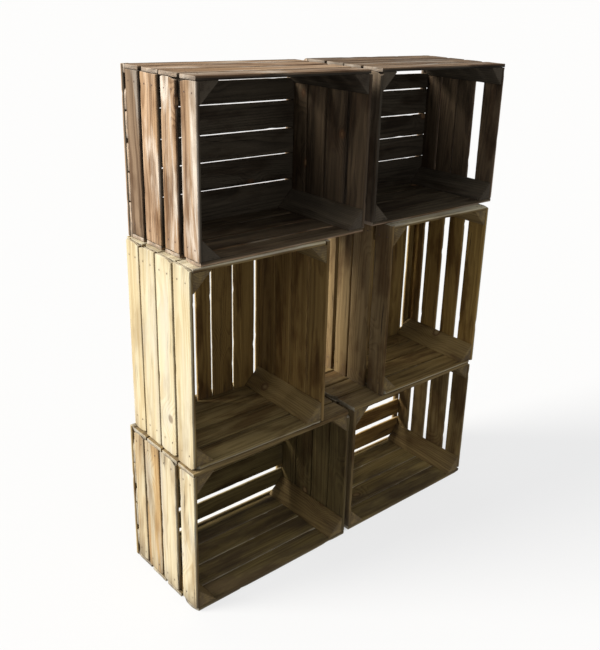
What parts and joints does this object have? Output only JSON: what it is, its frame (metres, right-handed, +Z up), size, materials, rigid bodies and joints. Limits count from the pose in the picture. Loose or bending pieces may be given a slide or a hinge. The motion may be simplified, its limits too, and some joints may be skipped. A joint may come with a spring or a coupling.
{
  "type": "apple crate shelf",
  "caption": "Free-standing shelf of old slatted wooden apple crates stacked on their sides, open to the front, with a bay between the middle crates.",
  "frame": {"origin": "middle of the footprint, on the floor", "axes": "+Z up, +X to the right seen from the open front, +Y to the back; the openings face -Y"},
  "size_m": [1.079, 0.3368, 1.3],
  "materials": {
    "tan_wood": "weathered sawn softwood",
    "pale_wood": "pale weathered sawn softwood",
    "dark_wood": "dark weathered sawn softwood",
    "nail_steel": "dull, rusted"
  },
  "bodies": {
    "bottom_left_crate": {"bottom_left_corner_posts": "tan_wood", "bottom_left_left_slats": "tan_wood", "bottom_left_right_slats": "tan_wood", "bottom_left_upper_slats": "tan_wood", "bottom_left_lower_slats": "tan_wood", "bottom_left_back_boards": "tan_wood", "bottom_left_back_battens": "tan_wood", "bottom_left_nails": "nail_steel"},
    "bottom_right_crate": {"bottom_right_corner_posts": "tan_wood", "bottom_right_left_slats": "tan_wood", "bottom_right_right_slats": "tan_wood", "bottom_right_upper_slats": "tan_wood", "bottom_right_lower_slats": "tan_wood", "bottom_right_back_boards": "tan_wood", "bottom_right_back_battens": "tan_wood", "bottom_right_nails": "nail_steel"},
    "middle_left_crate": {"middle_left_corner_posts": "pale_wood", "middle_left_left_slats": "pale_wood", "middle_left_right_slats": "pale_wood", "middle_left_upper_slats": "pale_wood", "middle_left_lower_slats": "pale_wood", "middle_left_back_boards": "pale_wood", "middle_left_back_battens": "pale_wood", "middle_left_nails": "nail_steel"},
    "middle_right_crate": {"middle_right_corner_posts": "pale_wood", "middle_right_left_slats": "pale_wood", "middle_right_right_slats": "pale_wood", "middle_right_upper_slats": "pale_wood", "middle_right_lower_slats": "pale_wood", "middle_right_back_boards": "pale_wood", "middle_right_back_battens": "pale_wood", "middle_right_nails": "nail_steel"},
    "top_left_crate": {"top_left_corner_posts": "dark_wood", "top_left_left_slats": "dark_wood", "top_left_right_slats": "dark_wood", "top_left_upper_slats": "dark_wood", "top_left_lower_slats": "dark_wood", "top_left_back_boards": "dark_wood", "top_left_back_battens": "dark_wood", "top_left_nails": "nail_steel"},
    "top_right_crate": {"top_right_corner_posts": "dark_wood", "top_right_left_slats": "dark_wood", "top_right_right_slats": "dark_wood", "top_right_upper_slats": "dark_wood", "top_right_lower_slats": "dark_wood", "top_right_back_boards": "dark_wood", "top_right_back_battens": "dark_wood", "top_right_nails": "nail_steel"}
  },
  "joints": [
    {"name": "bottom_right_slide", "type": "slide", "parent": "bottom_left_crate", "child": "bottom_right_crate", "axis": [1, 0, 0], "range_m": [0, 0.5]},
    {"name": "middle_left_lift", "type": "slide", "parent": "bottom_left_crate", "child": "middle_left_crate", "axis": [0, 0, 1], "range_m": [0, 0.5]},
    {"name": "middle_right_lift", "type": "slide", "parent": "bottom_right_crate", "child": "middle_right_crate", "axis": [0, 0, 1], "range_m": [0, 0.5]},
    {"name": "top_left_lift", "type": "slide", "parent": "middle_left_crate", "child": "top_left_crate", "axis": [0, 0, 1], "range_m": [0, 0.4]},
    {"name": "top_right_lift", "type": "slide", "parent": "middle_right_crate", "child": "top_right_crate", "axis": [0, 0, 1], "range_m": [0, 0.4]}
  ]
}
